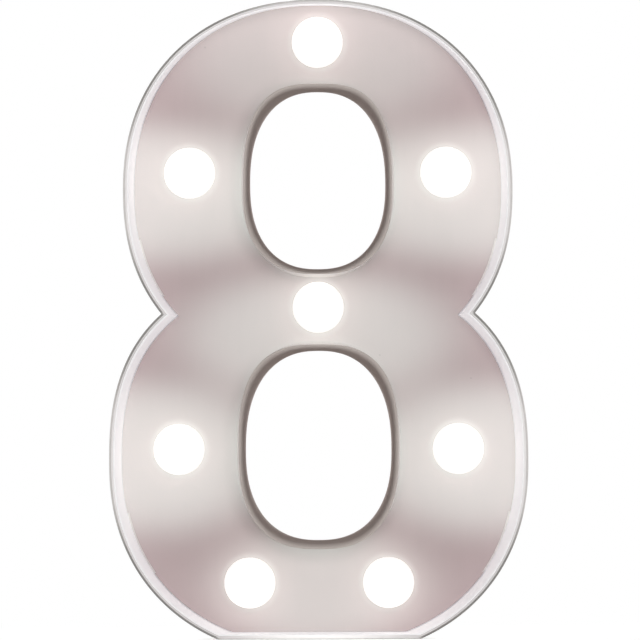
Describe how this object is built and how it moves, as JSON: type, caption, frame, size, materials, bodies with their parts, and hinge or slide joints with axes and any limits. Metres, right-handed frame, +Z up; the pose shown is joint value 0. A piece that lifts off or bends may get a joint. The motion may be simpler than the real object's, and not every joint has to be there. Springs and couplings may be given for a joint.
{
  "type": "light up marquee number",
  "caption": "White battery lamp shaped as the numeral 8, with frosted globe bulbs in a recessed face, two open counters, a flat foot, a hinged battery door and a slide switch.",
  "frame": {"origin": "middle of the depth and width, on the surface that the flat foot stands on", "axes": "+Z up, the lit face looks along -Y, +X to the right as seen from the front"},
  "size_m": [0.1442, 0.046, 0.22],
  "materials": {
    "shell_white": "satin white moulded plastic",
    "face_white": "satin white moulded plastic, lit by the bulbs",
    "sleeve_white": "satin white moulded plastic",
    "back_white": "fine spark-eroded texture",
    "box_white": "satin",
    "socket_white": "satin",
    "bulb_frosted": "frosted, lit warm white",
    "led_epoxy": "clear epoxy",
    "black_plastic": "matt",
    "screw_steel": "zinc plated",
    "contact_nickel": "nickel plated",
    "cell_jacket": "printed sleeve, left plain",
    "lead_red": "PVC",
    "lead_black": "PVC",
    "resistor_body": "lacquered"
  },
  "bodies": {
    "housing": {"outer_rim": "shell_white", "face_panel": "face_white", "upper_counter_sleeve": "sleeve_white", "lower_counter_sleeve": "sleeve_white", "back_cover": "back_white", "battery_box": "box_white", "battery_cell_1": "cell_jacket", "battery_cell_2": "cell_jacket", "bridge_contact": "contact_nickel", "positive_contact": "contact_nickel", "negative_contact": "contact_nickel", "bridge_spring": "contact_nickel", "negative_spring": "contact_nickel", "switch_body": "black_plastic", "series_resistor": "resistor_body", "red_lamp_lead": "lead_red", "black_lamp_lead": "lead_black", "battery_lead_red": "lead_red", "battery_lead_black": "lead_black", "switch_lead_red": "lead_red", "feed_lead_red": "lead_red", "bulb_cap_1": "bulb_frosted", "lamp_socket_1": "socket_white", "led_lamp_1": "led_epoxy", "bulb_cap_2": "bulb_frosted", "lamp_socket_2": "socket_white", "led_lamp_2": "led_epoxy", "bulb_cap_3": "bulb_frosted", "lamp_socket_3": "socket_white", "led_lamp_3": "led_epoxy", "bulb_cap_4": "bulb_frosted", "lamp_socket_4": "socket_white", "led_lamp_4": "led_epoxy", "bulb_cap_5": "bulb_frosted", "lamp_socket_5": "socket_white", "led_lamp_5": "led_epoxy", "bulb_cap_6": "bulb_frosted", "lamp_socket_6": "socket_white", "led_lamp_6": "led_epoxy", "bulb_cap_7": "bulb_frosted", "lamp_socket_7": "socket_white", "led_lamp_7": "led_epoxy", "bulb_cap_8": "bulb_frosted", "lamp_socket_8": "socket_white", "led_lamp_8": "led_epoxy", "cover_screw_1": "screw_steel", "cover_screw_2": "screw_steel", "cover_screw_3": "screw_steel", "cover_screw_4": "screw_steel", "cover_screw_5": "screw_steel", "cover_screw_6": "screw_steel", "switch_terminal_1": "contact_nickel", "switch_terminal_2": "contact_nickel", "switch_terminal_3": "contact_nickel"},
    "battery_door": {"battery_door": "back_white", "door_screw": "screw_steel"},
    "switch_knob": {"switch_knob": "black_plastic"}
  },
  "joints": [
    {"name": "battery_door_hinge", "type": "hinge", "parent": "housing", "child": "battery_door", "pos_m": [0.0445, 0.0219, 0.09275], "axis": [1, 0, 0], "range_deg": [0, 90]},
    {"name": "switch_slide", "type": "slide", "parent": "housing", "child": "switch_knob", "axis": [1, 0, 0], "range_m": [-0.0032, 0]}
  ]
}
